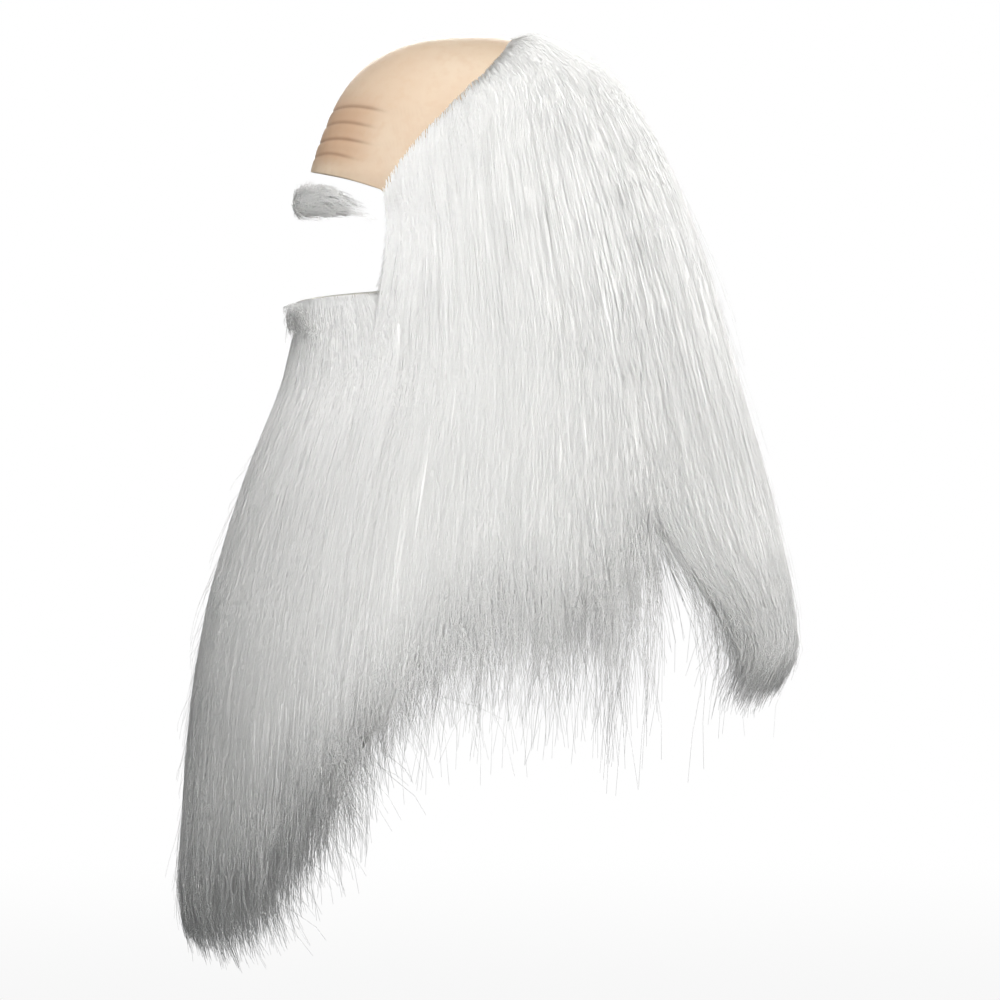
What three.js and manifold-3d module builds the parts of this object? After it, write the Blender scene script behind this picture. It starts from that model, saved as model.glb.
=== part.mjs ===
// A costume wig of a wise old man: a bald latex cap with a creased forehead, long straight hair that
// starts behind the bald front, a full beard on a cloth backing, a short moustache and two bushy brows.
// Millimetres, +Z up. The wearer faces -Y, and the origin is the crown of the head inside the cap.
import * as THREE from "three";
import { mergeGeometries, mergeVertices } from "three/addons/utils/BufferGeometryUtils.js";
import Module from "manifold-3d";

const wasm = await Module();
wasm.setup();

// Driving dimensions
// Angles are in degrees round the head: 0 at the face, 90 at the left ear and 180 at the nape.
const HEAD = { front: 107.4, back: 82.4, side: 76.4, height: 95, roundness: 2.2, napeTaper: 0.12 };
const FACE = { front: 117.5, side: 73.5, top: -168, chin: -243, chinFront: 10, chinSide: 18 };
const CAP_THICKNESS = 1.6;
const CAP_LOWEST = -186;
const CAP_GRID = { columns: 36, outerRows: 34, innerRows: 12 };
const BACKING_THICKNESS = 1.5;
const BACKING_GRID = { columns: 24, rows: 4 };
const BACKING_END_Y = -62.2;
const FACE_EDGE_DEG = 58.4;
const SEAM_DEG = 0.5;
const BEARD_ROOT_END_DEG = 60.5;
const EAR_CURVE_DEG = 2.2;
const SEAT_GAP = 0.4;
const HAIR_GAP = 1.0;

// The outline of the whole mass of hair at each height: its foremost and rearmost points and half its width.
const OUTLINE = [
  { z: 3, front: -10, back: 42, half: 24 },
  { z: -4, front: -49, back: 61, half: 46 },
  { z: -14, front: -70, back: 78, half: 61 },
  { z: -27, front: -82, back: 93, half: 73 },
  { z: -53, front: -98, back: 111, half: 85 },
  { z: -92, front: -112, back: 131, half: 93 },
  { z: -144, front: -120, back: 150, half: 99 },
  { z: -209, front: -125, back: 168, half: 107 },
  { z: -287, front: -154, back: 190, half: 119 },
  { z: -365, front: -177, back: 206, half: 135 },
  { z: -430, front: -188, back: 208, half: 146 },
  { z: -500, front: -194, back: 206, half: 136 },
  { z: -560, front: -196, back: 200, half: 113 },
  { z: -610, front: -184, back: 190, half: 88 },
];

// Where the hair starts on the cap, from the temple up over the crown.
const HAIRLINE = [
  { deg: 58.4, z: -98 },
  { deg: 66, z: -78.6 },
  { deg: 73, z: -62.4 },
  { deg: 81, z: -46 },
  { deg: 90, z: -29 },
  { deg: 104, z: -15 },
  { deg: 126, z: -6 },
  { deg: 180, z: -2.4 },
];

// Where the beard starts on the face, from the lip out to the cheek.
const CHEEK_LINE = [
  { deg: 0, z: -172 },
  { deg: 30, z: -168 },
  { deg: 60, z: -164 },
];

// Where the hair and the beard end, from the chest round to the back.
const TIPS = [
  { deg: 0, z: -578 },
  { deg: 24, z: -582 },
  { deg: 40, z: -575 },
  { deg: 50, z: -555 },
  { deg: 60, z: -518 },
  { deg: 72, z: -478 },
  { deg: 90, z: -450 },
  { deg: 112, z: -452 },
  { deg: 132, z: -432 },
  { deg: 155, z: -422 },
  { deg: 180, z: -414 },
];

// The cap's edge round the face, seen from the side: along the forehead and down in front of the ear.
const CAP_EDGE = [
  { y: -109, z: -86.5 },
  { y: -86, z: -91 },
  { y: -62.5, z: -98 },
  { y: -58.8, z: -108 },
  { y: -58.8, z: -128 },
  { y: -60.6, z: -150 },
  { y: -61.8, z: -164 },
  { y: -61.8, z: -190 },
];
const FACE_OPENING = { front: -240, top: -82, bottom: -240, halfWidth: 120 };

// The creases of the forehead: height at the middle, how far round each one runs, and depth.
const CREASES = [
  { z: -47, reachDeg: 56, depth: 0.9 },
  { z: -57, reachDeg: 52, depth: 0.8 },
  { z: -68, reachDeg: 52, depth: 0.9 },
  { z: -78, reachDeg: 46, depth: 0.7 },
];
const CREASE_HALF_WIDTH = 3.4;
const CREASE_ARCH = 4;
const CREASE_DROOP = 1.5;

// How far down the head each share of the cap's rows lies: 0 at the crown and 1 at the ears.
const CAP_ROWS = [
  { share: 0, down: 0 },
  { share: 0.27, down: 0.62 },
  { share: 0.74, down: 0.96 },
  { share: 1, down: 1.958 },
];
const FRONT_CROWDING = 0.05;

// One brow from its inner end to its tail: the middle of each section, half its height and half its depth.
const BROW = [
  { along: 0, x: 7, y: -113, z: -107, height: 0, depth: 0 },
  { along: 0.06, x: 9, y: -114, z: -106, height: 6, depth: 4.4 },
  { along: 0.2, x: 17, y: -114, z: -104, height: 9, depth: 6 },
  { along: 0.4, x: 31, y: -108, z: -103, height: 9, depth: 5.6 },
  { along: 0.6, x: 46, y: -96, z: -104.5, height: 7.4, depth: 4.4 },
  { along: 0.8, x: 58.5, y: -80, z: -110.5, height: 5, depth: 2.8 },
  { along: 0.97, x: 66, y: -61.6, z: -119.5, height: 2.6, depth: 0.9 },
  { along: 1, x: 66.6, y: -59.5, z: -120, height: 0, depth: 0 },
];
const BROW_GROOVE = 0.16;

const BROW_GRID = { columns: 12, rows: 14 };

// Locks: how many, the rows of each curtain, how those rows crowd to the roots, and by what share of the
// length the hair has swollen from its roots out to the outline.
const HAIR = { locks: 22, rows: 13, crowding: 2, templeSwell: 0.5, crownSwell: 0.2 };
const BEARD = { locks: 10, rows: 11, crowding: 1.4, swell: 0.28, edgeTurn: 0.2 };
const MOUSTACHE = { locks: 6, rows: 3, reachDeg: 26, top: -174, length: 19, tipStagger: 5 };
const MOUSTACHE_DEPTH = { seat: 0.9, top: 1.4, tip: 4.2 };
const COLUMNS_PER_LOCK = 4;
const LOCK_GROOVE = 4.5;
const LOCK_TIP_STAGGER = 24;
const LOCK_TIP_VARIATION = 9;
const ROOT_THICKNESS = 2.2;
const CURTAIN_THICKNESS = 16;
const TIP_THICKNESS = 2.4;
const FALL_FREE = 75;

const WHITE_HAIR = new THREE.MeshStandardMaterial({ color: 0xe9e8e4, roughness: 0.55, metalness: 0 });
const SKIN_LATEX = new THREE.MeshStandardMaterial({ color: 0xe4caaa, roughness: 0.5, metalness: 0 });
const BACKING_CLOTH = new THREE.MeshStandardMaterial({ color: 0xd8d5cc, roughness: 0.9, metalness: 0 });

// Curves

const { clamp, degToRad, lerp, radToDeg, smoothstep } = THREE.MathUtils;

// The slope of a table's column at one row, from the rows beside it.
function slopeAt(table, key, column, row) {
  const before = table[Math.max(row - 1, 0)];
  const after = table[Math.min(row + 1, table.length - 1)];
  return (after[column] - before[column]) / (after[key] - before[key]);
}

// A table's column as a smooth curve over its key, which rises or falls all the way down the table.
function curveOf(table, key, column, at) {
  const falls = table[1][key] < table[0][key];
  const reached = table.findIndex((entry) => (falls ? entry[key] <= at : entry[key] >= at));
  const end = reached < 0 ? table.length - 1 : Math.max(reached, 1);
  const a = table[end - 1];
  const b = table[end];
  const span = b[key] - a[key];
  const t = clamp((at - a[key]) / span, 0, 1);
  const leave = slopeAt(table, key, column, end - 1) * span;
  const arrive = slopeAt(table, key, column, end) * span;
  const ease = t * t * (3 - 2 * t);
  return lerp(a[column], b[column], ease) + t * (1 - t) * (leave * (1 - t) - arrive * t);
}

// The left and right sides match, so every table of angles is read by the angle from the face.
function fromFace(deg) {
  return deg > 180 ? 360 - deg : Math.abs(deg);
}

// A point on an oval with slightly squared shoulders.
function ovalPoint(deg, front, back, side, z) {
  const squared = (value) => Math.sign(value) * Math.abs(value) ** (2 / HEAD.roundness);
  const ahead = squared(Math.cos(degToRad(deg)));
  const aside = squared(Math.sin(degToRad(deg)));
  return new THREE.Vector3(side * aside, -(ahead > 0 ? front : back) * ahead, z);
}

// How far down the head a height lies: 0 at the crown, 1 at the ears and 2 at the bottom of the skull.
function downOf(z) {
  const up = (z + HEAD.height) / HEAD.height;
  return up > 0 ? Math.acos(Math.min(up, 1) ** (HEAD.roundness / 2)) / (Math.PI / 2) : 1 - up;
}

// The head's surface, grown outwards by an offset: a dome down to the ears, and upright below them.
function headPoint(deg, down, offset) {
  const tilt = (Math.min(down, 1) * Math.PI) / 2;
  const wide = Math.sin(tilt) ** (2 / HEAD.roundness);
  const below = Math.max(down - 1, 0);
  const back = HEAD.back * (1 - HEAD.napeTaper * below * below);
  const rise = (HEAD.height + offset) * Math.max(Math.cos(tilt), 0) ** (2 / HEAD.roundness);
  const z = down < 1 ? rise - HEAD.height : -HEAD.height * down;
  return ovalPoint(deg, (HEAD.front + offset) * wide, (back + offset) * wide, (HEAD.side + offset) * wide, z);
}

// The lower face that the beard's backing lies on, narrowing from the cheeks to the chin.
function facePoint(deg, z, offset) {
  const low = clamp((FACE.top - z) / (FACE.top - FACE.chin), 0, 1);
  const front = FACE.front - FACE.chinFront * low + offset;
  return ovalPoint(deg, front, front, FACE.side - FACE.chinSide * low + offset, z);
}

// The outline of the hair at a height, drawn in by a depth.
function outlinePoint(deg, z, depth) {
  const front = curveOf(OUTLINE, "z", "front", z) + depth;
  const back = curveOf(OUTLINE, "z", "back", z) - depth;
  const half = curveOf(OUTLINE, "z", "half", z) - depth;
  const turn = degToRad(deg);
  const y = (front + back) / 2 - ((back - front) / 2) * Math.cos(turn);
  return new THREE.Vector3(half * Math.sin(turn), y, z);
}

// Geometry

// Moves each point of a grid to the place that a function of its column and row gives, both from 0 to 1.
function bend(grid, columns, rows, place, mirrored) {
  const { position } = grid.attributes;
  for (let i = 0; i < position.count; i++) {
    const column = i % (columns + 1);
    const row = Math.floor(i / (columns + 1));
    const p = place((mirrored ? columns - column : column) / columns, row / rows);
    position.setXYZ(i, p.x, p.y, p.z);
  }
  return grid;
}

function sheet(columns, rows, place, mirrored = false) {
  return bend(new THREE.PlaneGeometry(1, 1, columns, rows), columns, rows, place, mirrored);
}

function dome(columns, rows, place, mirrored = false) {
  const ball = new THREE.SphereGeometry(1, columns, rows, 0, Math.PI * 2, 0, Math.PI / 2);
  return bend(ball, columns, rows, place, mirrored);
}

// Sheets whose edges meet become one closed surface.
function weld(sheets) {
  const merged = mergeGeometries(sheets);
  merged.deleteAttribute("normal");
  merged.deleteAttribute("uv");
  return mergeVertices(merged, 1e-3);
}

// A wall between an outer and an inner sheet, closed along its four edges.
function wall(columns, rows, outer, inner) {
  return weld([
    sheet(columns, rows, outer),
    sheet(columns, rows, inner, true),
    sheet(columns, 1, (u, v) => inner(u, 0).lerp(outer(u, 0), v)),
    sheet(columns, 1, (u, v) => outer(u, 1).lerp(inner(u, 1), v)),
    sheet(1, rows, (u, v) => inner(0, v).lerp(outer(0, v), u)),
    sheet(1, rows, (u, v) => outer(1, v).lerp(inner(1, v), u)),
  ]);
}

function solidOf(geometry) {
  const mesh = new wasm.Mesh({
    numProp: 3,
    vertProperties: geometry.attributes.position.array,
    triVerts: new Uint32Array(geometry.index.array),
  });
  return new wasm.Manifold(mesh);
}

function geometryOf(solid) {
  const { vertProperties, triVerts } = solid.getMesh();
  return new THREE.BufferGeometry()
    .setAttribute("position", new THREE.BufferAttribute(vertProperties, 3))
    .setIndex(new THREE.BufferAttribute(triVerts, 1));
}

const wig = new THREE.Group();

function addPiece(name, geometry, material) {
  const mesh = new THREE.Mesh(geometry, material);
  mesh.name = name;
  wig.add(mesh);
}

// Bald cap

// How deep the forehead is creased at a place. Each crease arches up on both sides of the middle.
function creaseDepth(deg, z) {
  const depths = CREASES.map((crease) => {
    const along = Math.min(fromFace(deg) / crease.reachDeg, 1);
    const middle = crease.z + CREASE_ARCH * Math.sin(Math.PI * along ** 1.2) - CREASE_DROOP * along;
    const across = Math.min(Math.abs(z - middle) / CREASE_HALF_WIDTH, 1);
    return crease.depth * (1 - smoothstep(along, 0.7, 1)) * Math.cos((across * Math.PI) / 2) ** 2;
  });
  return Math.max(...depths);
}

// The angle of a column of the cap. The columns stand closest over the forehead.
function capAngle(u) {
  const round = u - 0.5;
  return 360 * (round - FRONT_CROWDING * Math.sin(2 * Math.PI * round));
}

function makeCapShell() {
  const { columns, outerRows, innerRows } = CAP_GRID;
  const down = (v) => curveOf(CAP_ROWS, "share", "down", v);
  const outer = (u, v) => {
    const { z } = headPoint(0, down(v), 0);
    return headPoint(capAngle(u), down(v), CAP_THICKNESS - creaseDepth(capAngle(u), z));
  };
  const inner = (u, v) => headPoint(capAngle(u), down(v), 0);
  return weld([
    dome(columns, outerRows, outer),
    dome(columns, innerRows, inner, true),
    sheet(columns, 1, (u, v) => outer(u, 1).lerp(inner(u, 1), v)),
  ]);
}

// The open face: the side view of the cap's edge, run through from ear to ear.
function makeFaceOpening() {
  const edge = CAP_EDGE.map(({ y, z }) => new THREE.Vector2(y, z));
  const opening = new THREE.Shape();
  opening.moveTo(FACE_OPENING.front, FACE_OPENING.top);
  opening.lineTo(edge[0].x, edge[0].y);
  opening.splineThru(edge.slice(1));
  opening.lineTo(edge.at(-1).x, FACE_OPENING.bottom);
  opening.lineTo(FACE_OPENING.front, FACE_OPENING.bottom);
  const block = new THREE.ExtrudeGeometry(opening, {
    depth: 2 * FACE_OPENING.halfWidth,
    bevelEnabled: false,
    curveSegments: 3,
  });
  block.translate(0, 0, -FACE_OPENING.halfWidth);
  const [x, y, z] = [new THREE.Vector3(1, 0, 0), new THREE.Vector3(0, 1, 0), new THREE.Vector3(0, 0, 1)];
  return block.applyMatrix4(new THREE.Matrix4().makeBasis(y, z, x));
}

const capSolid = solidOf(makeCapShell()).subtract(solidOf(weld([makeFaceOpening()])));
addPiece("bald_cap", geometryOf(capSolid), SKIN_LATEX);

// Hair and beard

// How far a place across a run of locks stands out: 0 in the groove between two locks, 1 along a lock's back.
function lockRise(across, locks) {
  return Math.sin(Math.PI * across * locks) ** 2;
}

// A steady scatter from -1 to 1 that gives neighbouring locks different lengths.
function lockScatter(across, locks) {
  return Math.sin(2.4 * Math.floor(across * locks) + 0.7);
}

// A curtain of locks. It lies on its seat at the roots, swells out to the outline and hangs free lower down.
function makeCurtain({ angleAt, locks, rows, crowding, rootAt, seat, seatGap, seatLowest, swellBy }) {
  const at = (u, v) => {
    const deg = angleAt(u, v);
    const rise = lockRise(u, locks);
    const stagger = LOCK_TIP_STAGGER * (0.5 - rise) + LOCK_TIP_VARIATION * rise * lockScatter(u, locks);
    const level = lerp(rootAt(fromFace(deg)), tipLine(fromFace(deg)), v ** crowding);
    const groove = LOCK_GROOVE * (1 - rise) * smoothstep(v, 0.1, 0.6);
    return { deg, groove, z: level + stagger * smoothstep(v, 0.6, 1) };
  };
  const outer = (u, v) => {
    const { deg, groove, z } = at(u, v);
    const swell = smoothstep(v, 0, swellBy(fromFace(deg)));
    return seat(deg, z, seatGap + ROOT_THICKNESS).lerp(outlinePoint(deg, z, groove), swell);
  };
  const inner = (u, v) => {
    const { deg, groove, z } = at(u, v);
    const thickness = lerp(CURTAIN_THICKNESS, TIP_THICKNESS, smoothstep(v, 0.55, 1));
    const free = smoothstep(seatLowest - z, 0, FALL_FREE);
    return seat(deg, z, seatGap).lerp(outlinePoint(deg, z, groove + thickness), free);
  };
  return wall(locks * COLUMNS_PER_LOCK, rows, outer, inner);
}

const tipLine = (deg) => curveOf(TIPS, "deg", "z", deg);
const cheekLine = (deg) => curveOf(CHEEK_LINE, "deg", "z", deg);
const onCap = (deg, z, offset) => headPoint(deg, downOf(z), CAP_THICKNESS + offset);
const onBacking = (deg, z, offset) => facePoint(deg, z, BACKING_THICKNESS + offset);

// The hair's front edge curves back a little past the ear and then hangs straight.
const hairEdge = (v) => FACE_EDGE_DEG + EAR_CURVE_DEG * Math.sin(Math.PI * Math.min(v / 0.4, 1));

const longHair = makeCurtain({
  angleAt: (u, v) => lerp(hairEdge(v), 360 - hairEdge(v), u),
  locks: HAIR.locks,
  rows: HAIR.rows,
  crowding: HAIR.crowding,
  rootAt: (deg) => curveOf(HAIRLINE, "deg", "z", deg),
  seat: onCap,
  seatGap: HAIR_GAP,
  seatLowest: CAP_LOWEST,
  swellBy: (deg) => lerp(HAIR.templeSwell, HAIR.crownSwell, smoothstep(deg, 60, 110)),
});
addPiece("long_hair", longHair, WHITE_HAIR);

// The beard's side edge starts at the end of its backing and soon runs along the front edge of the hair.
const beardEdge = (v) =>
  lerp(BEARD_ROOT_END_DEG, FACE_EDGE_DEG - SEAM_DEG, smoothstep(v, 0, BEARD.edgeTurn));

const beard = makeCurtain({
  angleAt: (u, v) => (2 * u - 1) * beardEdge(v),
  locks: BEARD.locks,
  rows: BEARD.rows,
  crowding: BEARD.crowding,
  rootAt: cheekLine,
  seat: onBacking,
  seatGap: SEAT_GAP,
  seatLowest: FACE.chin,
  swellBy: () => BEARD.swell,
});
addPiece("beard", beard, WHITE_HAIR);

// Beard backing

function makeBacking() {
  const endAngle = (z) => {
    const front = -facePoint(0, z, 0).y;
    return radToDeg(Math.acos((-BACKING_END_Y / front) ** (HEAD.roundness / 2)));
  };
  const place = (thickness) => (u, v) => {
    const cheekDeg = endAngle(FACE.top) * (2 * u - 1);
    const z = lerp(cheekLine(fromFace(cheekDeg)), FACE.chin, v);
    return facePoint(endAngle(z) * (2 * u - 1), z, thickness);
  };
  return wall(BACKING_GRID.columns, BACKING_GRID.rows, place(BACKING_THICKNESS), place(0));
}

addPiece("beard_backing", makeBacking(), BACKING_CLOTH);

// Moustache

// The front of the beard at a place, or a place that stands proud of it.
function beardFront(deg, z, proud) {
  const root = cheekLine(fromFace(deg));
  const down = Math.max(root - z, 0) / (root - tipLine(fromFace(deg)));
  const swell = smoothstep(down ** (1 / BEARD.crowding), 0, BEARD.swell);
  return onBacking(deg, z, SEAT_GAP + ROOT_THICKNESS + proud).lerp(outlinePoint(deg, z, -proud), swell);
}

function makeMoustache() {
  const { locks, rows, reachDeg, top, length, tipStagger } = MOUSTACHE;
  const { seat, top: topDepth, tip: tipDepth } = MOUSTACHE_DEPTH;
  const place = (depthAt) => (u, v) => {
    const drop = length - tipStagger * (1 - lockRise(u, locks));
    return beardFront(lerp(-reachDeg, reachDeg, u), top - drop * v, seat + depthAt(v));
  };
  const outer = place((v) => lerp(topDepth, tipDepth, v));
  const inner = place(() => 0);
  return wall(locks * COLUMNS_PER_LOCK, rows, outer, inner);
}

addPiece("moustache", makeMoustache(), WHITE_HAIR);

// Brows

// A closed lock along the brow's line, grooved lengthwise. Side is 1 for the left brow and -1 for the right.
function makeBrow(side) {
  const { columns, rows } = BROW_GRID;
  const up = new THREE.Vector3(0, 0, 1);
  const line = (t) => {
    const [x, y, z] = ["x", "y", "z"].map((column) => curveOf(BROW, "along", column, t));
    return new THREE.Vector3(side * x, y, z);
  };
  const place = (u, v) => {
    const along = line(Math.min(v + 0.02, 1)).sub(line(Math.max(v - 0.02, 0)));
    const out = up.clone().cross(along).normalize();
    const groove = 1 - BROW_GROOVE * (Math.round(u * columns) % 2);
    const height = curveOf(BROW, "along", "height", v) * groove * Math.cos(2 * Math.PI * u);
    const depth = curveOf(BROW, "along", "depth", v) * groove * Math.sin(2 * Math.PI * u);
    return line(v).addScaledVector(up, height).addScaledVector(out, depth);
  };
  return weld([bend(new THREE.SphereGeometry(1, columns, rows), columns, rows, place, false)]);
}

addPiece("eyebrow_left", makeBrow(1), WHITE_HAIR);
addPiece("eyebrow_right", makeBrow(-1), WHITE_HAIR);

export default wig;
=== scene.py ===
# %% [markdown]
# # A wise man wig
#
# The wig is a bald cap of latex with long white hair behind it, a long beard on a cloth backing,
# a moustache tuft and two brows. The frame holds its measured solids. In this lesson every piece
# is modelled again over its solid, with the fine detail that solids leave out, and then it is lit
# and photographed from its left side. All lengths in the tables are millimetres, and meshes are
# scaled to metres when they are made. Lights and the camera are placed in metres.

import bmesh
import bpy
import numpy as np
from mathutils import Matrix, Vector


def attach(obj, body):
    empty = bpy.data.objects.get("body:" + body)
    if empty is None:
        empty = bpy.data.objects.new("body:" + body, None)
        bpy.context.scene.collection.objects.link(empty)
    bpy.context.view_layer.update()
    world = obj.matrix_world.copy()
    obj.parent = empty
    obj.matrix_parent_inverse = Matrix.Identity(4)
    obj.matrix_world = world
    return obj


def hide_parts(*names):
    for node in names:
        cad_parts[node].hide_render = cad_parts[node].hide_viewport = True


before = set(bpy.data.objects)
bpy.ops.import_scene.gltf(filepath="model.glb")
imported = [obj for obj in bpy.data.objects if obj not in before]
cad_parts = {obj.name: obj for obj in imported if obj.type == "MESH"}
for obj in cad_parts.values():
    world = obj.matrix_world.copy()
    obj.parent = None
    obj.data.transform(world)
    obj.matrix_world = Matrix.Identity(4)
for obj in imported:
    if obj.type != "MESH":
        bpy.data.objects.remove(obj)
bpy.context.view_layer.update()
rng = np.random.default_rng(11)
MM = 0.001
print("solids in the frame:", sorted(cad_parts))

# %% [markdown]
# ## Curves through short tables
#
# Hair falls in long smooth curves, and a few measured heights are enough to describe them. A
# table has named columns, and `read` draws a smooth curve through one column over another. It
# works on whole arrays, because thousands of strands will ask it for their place at once.


# %% Tables and smooth curves
def table(names, rows):
    return dict(zip(names.split(), np.array(rows, float).T))


def mix(a, b, share):
    return a + (b - a) * share


def read(rows, key, column, at):
    keys, values = rows[key], rows[column]
    if keys[0] > keys[-1]:
        keys, values = keys[::-1], values[::-1]
    last = len(keys) - 1
    after = np.minimum(np.arange(last + 1) + 1, last)
    before = np.maximum(np.arange(last + 1) - 1, 0)
    slope = (values[after] - values[before]) / (keys[after] - keys[before])
    at = np.clip(at, keys[0], keys[-1])
    row = np.clip(np.searchsorted(keys, at), 1, last)
    span = keys[row] - keys[row - 1]
    t = (at - keys[row - 1]) / span
    bend = t * (1 - t) * span * (slope[row - 1] * (1 - t) - slope[row] * t)
    return mix(values[row - 1], values[row], t * t * (3 - 2 * t)) + bend


def ease(at, low, high):
    t = np.clip((at - low) / (high - low), 0, 1)
    return t * t * (3 - 2 * t)


print("ease half way:", ease(0.5, 0, 1))

# %% [markdown]
# ## The forms that carry the hair
#
# The cap is an oval with slightly squared shoulders: a dome at the top and upright below it. The
# beard's backing is bent round a smaller oval in the same way. Lower down, hair hangs free, and
# its outline is a stack of ellipses. Places are given by an angle round the wig, 0 at the front,
# 90 at the left and 180 at the back, and by a height.

# %% Cap and backing forms
HEAD = {"front": 107.4, "back": 82.4, "side": 76.4, "height": 95.0, "nape_taper": 0.12}
FACE = {
    "front": 117.5,
    "side": 73.5,
    "top": -168.0,
    "chin": -243.0,
    "chin_front": 10.0,
    "chin_side": 18.0,
}
SQUARED = 2.2


def squared(value):
    return np.sign(value) * np.abs(value) ** (2 / SQUARED)


def oval(deg, front, back, side, z):
    ahead = squared(np.cos(np.radians(deg)))
    aside = squared(np.sin(np.radians(deg)))
    y = -np.where(ahead > 0, front, back) * ahead
    return np.stack(np.broadcast_arrays(side * aside, y, z), -1)


def down_of(z):
    up = (z + HEAD["height"]) / HEAD["height"]
    over = np.arccos(np.clip(up, 0, 1) ** (SQUARED / 2)) / (np.pi / 2)
    return np.where(up > 0, over, 1 - up)


def height_of(down):
    over = np.maximum(np.cos(np.minimum(down, 1) * np.pi / 2), 0) ** (2 / SQUARED)
    return np.where(down < 1, HEAD["height"] * (over - 1), -HEAD["height"] * down)


def on_head(deg, down, offset):
    tilt = np.minimum(down, 1) * np.pi / 2
    wide = np.sin(tilt) ** (2 / SQUARED)
    below = np.maximum(down - 1, 0)
    back = HEAD["back"] * (1 - HEAD["nape_taper"] * below**2)
    rise = (HEAD["height"] + offset) * np.maximum(np.cos(tilt), 0) ** (2 / SQUARED)
    z = np.where(down < 1, rise - HEAD["height"], -HEAD["height"] * down)
    front, side = HEAD["front"] + offset, HEAD["side"] + offset
    return oval(deg, front * wide, (back + offset) * wide, side * wide, z)


def on_face(deg, z, offset):
    low = np.clip((FACE["top"] - z) / (FACE["top"] - FACE["chin"]), 0, 1)
    front = FACE["front"] - FACE["chin_front"] * low + offset
    return oval(deg, front, front, FACE["side"] - FACE["chin_side"] * low + offset, z)


print("the cap's left side is at", on_head(np.array(90.0), np.array(1.0), 0.0).round(1))

# %% The outline of the hair
OUTLINE = table(
    "z front back half",
    [
        (3, -10, 42, 24),
        (-4, -49, 61, 46),
        (-14, -70, 78, 61),
        (-27, -82, 93, 73),
        (-53, -98, 111, 85),
        (-92, -112, 131, 93),
        (-144, -120, 150, 99),
        (-209, -125, 168, 107),
        (-287, -154, 190, 119),
        (-365, -177, 206, 135),
        (-430, -188, 208, 146),
        (-500, -194, 206, 136),
        (-560, -196, 200, 113),
        (-610, -184, 190, 88),
    ],
)
NAPE_TUCK = 18


def from_face(deg):
    round_once = np.abs(deg) % 360
    return np.where(round_once > 180, 360 - round_once, round_once)


def outline(deg, z, depth):
    front = read(OUTLINE, "z", "front", z) + depth
    back = read(OUTLINE, "z", "back", z) - depth
    half = read(OUTLINE, "z", "half", z) - depth
    turn = np.radians(deg)
    tuck = NAPE_TUCK * ease(z, -393, -440) * ease(from_face(deg), 110, 165)
    y = (front + back) / 2 - (back - front) / 2 * np.cos(turn) - tuck
    return np.stack(np.broadcast_arrays(half * np.sin(turn), y, z), -1)


print("the hair is", 2 * OUTLINE["half"].max(), "mm at its widest")

# %% [markdown]
# ## Shader maths as Python
#
# A material's pattern is a chain of small nodes. Wrapping a socket in a class lets us write that
# chain as an expression, where every sign adds one Math node, and `to` adds a node of any other
# kind.


# %% One wire of a shader
class Wire:
    def __init__(self, tree, socket=None):
        self.tree = tree
        self.socket = socket

    def to(self, kind, settings, sockets, output=0):
        node = self.tree.nodes.new("ShaderNode" + kind)
        for name, value in settings.items():
            setattr(node, name, value)
        for name, value in sockets.items():
            if isinstance(value, Wire):
                self.tree.links.new(value.socket, node.inputs[name])
            else:
                node.inputs[name].default_value = value
        return Wire(self.tree, node.outputs[output])

    def into(self, socket):
        self.tree.links.new(self.socket, socket)

    def maths(self, operation, first, second):
        return self.to("Math", {"operation": operation}, {0: first, 1: second})

    def __add__(self, other):
        return self.maths("ADD", self, other)

    def __radd__(self, other):
        return self.maths("ADD", other, self)

    def __sub__(self, other):
        return self.maths("SUBTRACT", self, other)

    def __rsub__(self, other):
        return self.maths("SUBTRACT", other, self)

    def __mul__(self, other):
        return self.maths("MULTIPLY", self, other)

    def __rmul__(self, other):
        return self.maths("MULTIPLY", other, self)

    def blend(self, low, high):
        return self.to("Mix", {"data_type": "RGBA"}, {0: self, 6: low, 7: high}, 2)

    def between(self, low, high):
        sockets = {"Value": self, "From Min": low, "From Max": high}
        return self.to("MapRange", {"interpolation_type": "SMOOTHSTEP"}, sockets)


def new_material(name, roughness, specular):
    material = bpy.data.materials.new(name)
    material.use_nodes = True
    surface = material.node_tree.nodes["Principled BSDF"]
    surface.inputs["Roughness"].default_value = roughness
    surface.inputs["Specular IOR Level"].default_value = specular
    return material, surface.inputs, Wire(material.node_tree)


print("shader wires ready")

# %% [markdown]
# ## Latex skin
#
# The cap is moulded latex, sprayed to look like skin. Two attributes of its mesh carry what
# follows the forehead: how deep a crease is, which also sets the painted shade in each crease, and
# where painted shade darkens the skin between the creases. Over them lie three sizes of mottling
# on Object coordinates, because a plain beige would look like plastic.

# %% Skin material
SKIN = (0.64, 0.495, 0.355, 1)
SKIN_WARM = (0.62, 0.45, 0.305, 1)
SKIN_PALE = (0.67, 0.54, 0.4, 1)
# The next two colours are painted shade: between the creases, and in them.
SKIN_PAINTED_SHADE = (0.475, 0.26, 0.14, 1)
SKIN_CREASE_SHADE = (0.2, 0.1, 0.055, 1)


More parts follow.
